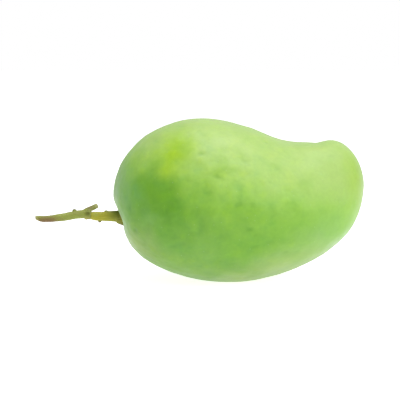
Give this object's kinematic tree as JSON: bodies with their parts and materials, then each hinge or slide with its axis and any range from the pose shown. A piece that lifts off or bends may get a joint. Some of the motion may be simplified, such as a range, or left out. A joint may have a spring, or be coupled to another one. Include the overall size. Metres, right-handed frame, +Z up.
{
  "type": "mango",
  "caption": "Green mango of a long kidney shape with a beak, lying on its rounded back edge, with its stalk and a short piece of flower twig.",
  "frame": {"origin": "middle of the small flat spot that the fruit rests on, at the surface that it lies on", "axes": "+X along the fruit from the stalk end to the apex, +Y across from cheek to cheek, +Z up, towards the hollow side and the beak"},
  "size_m": [0.1636, 0.075, 0.0815],
  "materials": {
    "mango_skin": "waxy unripe mango skin, satin, pale yellow-green to leaf green with bloom, mottles and fine pale pores",
    "green_stalk": "fleshy green-wood stalk, yellow-olive, satin",
    "twig_bark": "young twig bark, olive with a brown-purple blush, matt, pale broken ends"
  },
  "bodies": {
    "root": {"fruit": "mango_skin", "stalk": "green_stalk", "twig": "twig_bark"}
  },
  "joints": []
}
